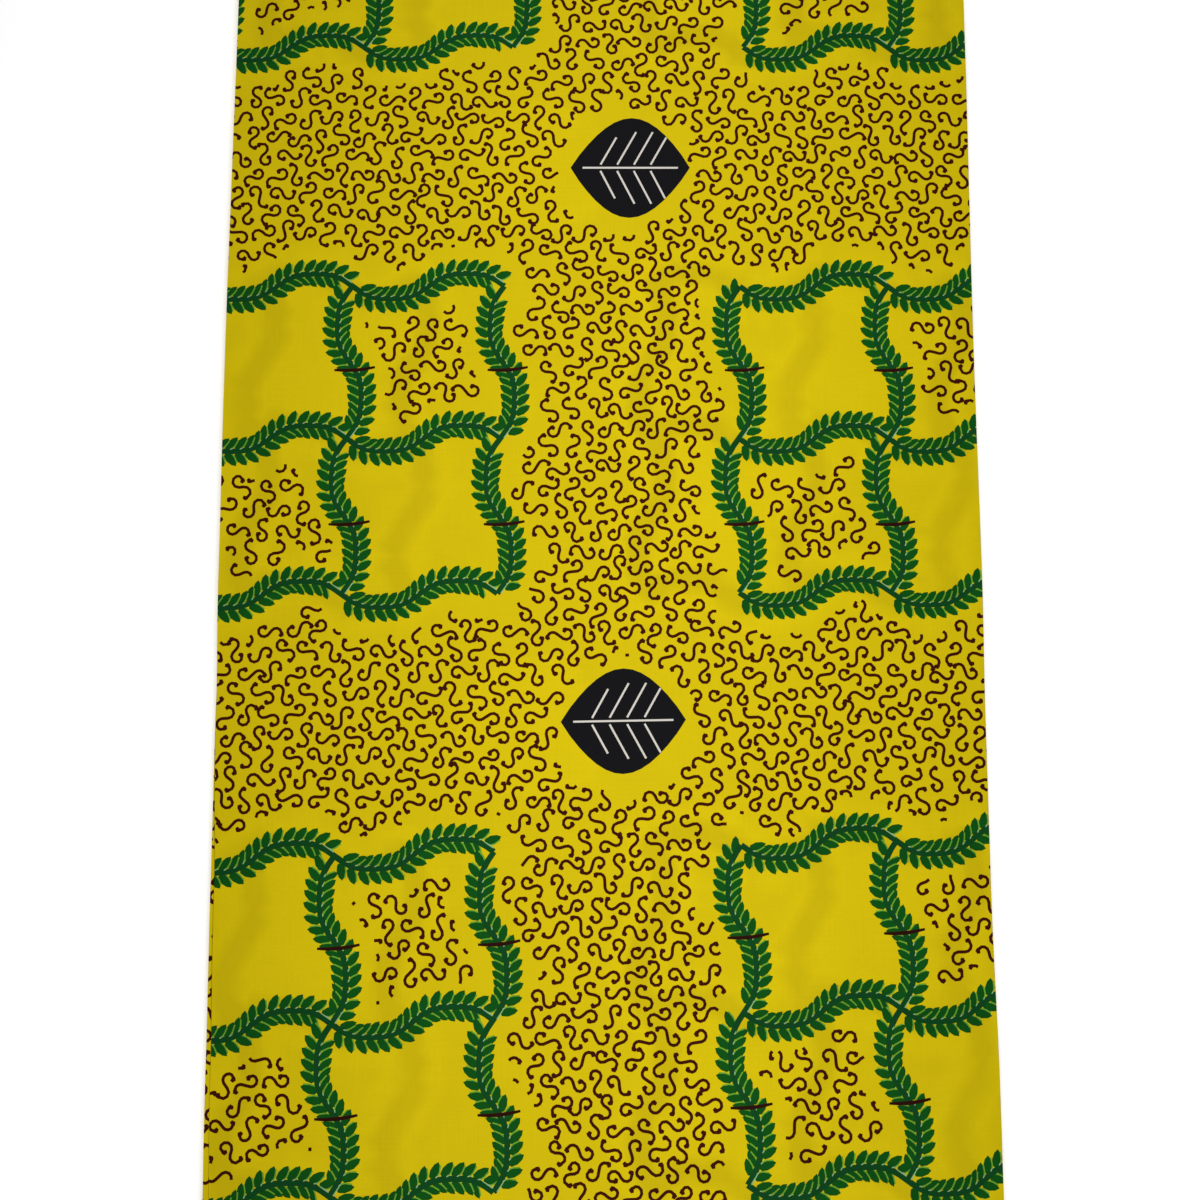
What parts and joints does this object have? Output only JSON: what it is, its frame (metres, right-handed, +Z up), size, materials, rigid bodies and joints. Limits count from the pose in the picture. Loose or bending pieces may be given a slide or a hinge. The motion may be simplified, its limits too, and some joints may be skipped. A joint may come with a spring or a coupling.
{
  "type": "wax print fabric",
  "caption": "Length of printed cotton cloth, folded in half and to and fro into a flat rectangular pile, for cutting and sewing into dress.",
  "frame": {"origin": "on the surface the pile lies on, under the middle of its outline", "axes": "+Y along the folded length, +X across it towards the lengthwise fold, +Z up"},
  "size_m": [0.5822, 1.1, 0.0155],
  "materials": {
    "printed_cotton": "yellow plain-weave cotton printed in green, brown and black, with a faint waxed sheen"
  },
  "bodies": {
    "root": {"top_length_upper_half": "printed_cotton", "top_length_lower_half": "printed_cotton", "hidden_lengths": "printed_cotton"}
  },
  "joints": []
}
